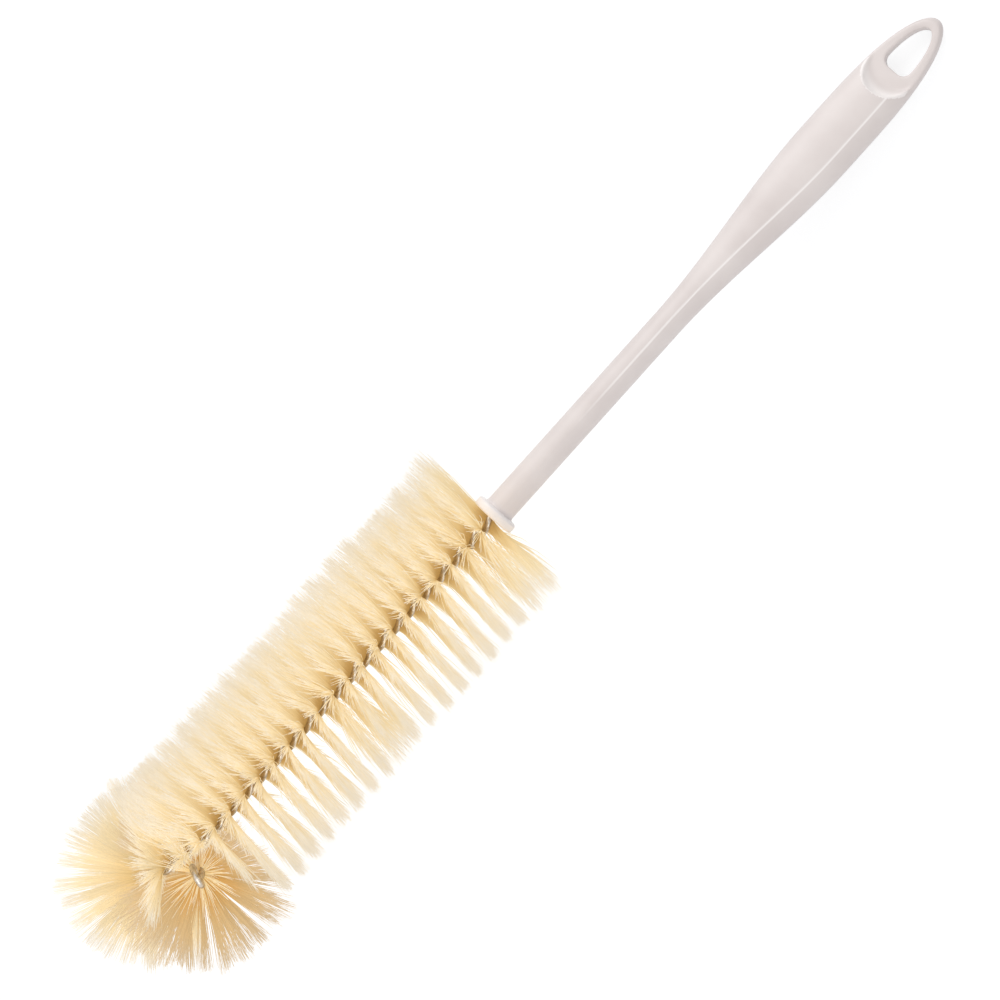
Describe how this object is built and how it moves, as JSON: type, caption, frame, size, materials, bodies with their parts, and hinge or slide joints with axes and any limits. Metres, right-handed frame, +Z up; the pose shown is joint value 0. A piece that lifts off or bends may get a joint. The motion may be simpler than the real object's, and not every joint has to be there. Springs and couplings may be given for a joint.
{
  "type": "bottle brush",
  "caption": "Bottle brush with a one-piece moulded plastic handle, a hanging eye, and twisted-in-wire bristles in a double spiral that close in a ring at the tip.",
  "frame": {"origin": "on the surface the brush lies on, below the middle of its bounding box", "axes": "+X along the brush from the hanging eye to the tip of the head, level with the surface; +Z up; +Y to the left when looking along +X"},
  "size_m": [0.4, 0.0735, 0.0794],
  "materials": {
    "handle_plastic": "pale warm white, smooth moulded with a soft satin gloss",
    "wire": "drawn galvanised steel wire, dull grey",
    "bristles": "cream filaments, straw-coloured where they are dense and nearly white at the tips"
  },
  "bodies": {
    "root": {"handle": "handle_plastic", "wire_core": "wire", "bristle_turn_01": "bristles", "bristle_turn_02": "bristles", "bristle_turn_03": "bristles", "bristle_turn_04": "bristles", "bristle_turn_05": "bristles", "bristle_turn_06": "bristles", "bristle_turn_07": "bristles", "bristle_turn_08": "bristles", "bristle_turn_09": "bristles", "bristle_turn_10": "bristles", "bristle_turn_11": "bristles", "bristle_turn_12": "bristles", "bristle_turn_13": "bristles", "bristle_turn_14": "bristles", "bristle_turn_15": "bristles", "bristle_turn_16": "bristles", "bristle_turn_17": "bristles", "bristle_turn_18": "bristles", "bristle_turn_19": "bristles", "bristle_ring_1": "bristles", "bristle_ring_2": "bristles", "bristle_ring_3": "bristles", "bristle_ring_4": "bristles", "bristle_ring_5": "bristles", "bristle_ring_6": "bristles", "bristle_ring_7": "bristles", "bristle_ring_8": "bristles"}
  },
  "joints": []
}
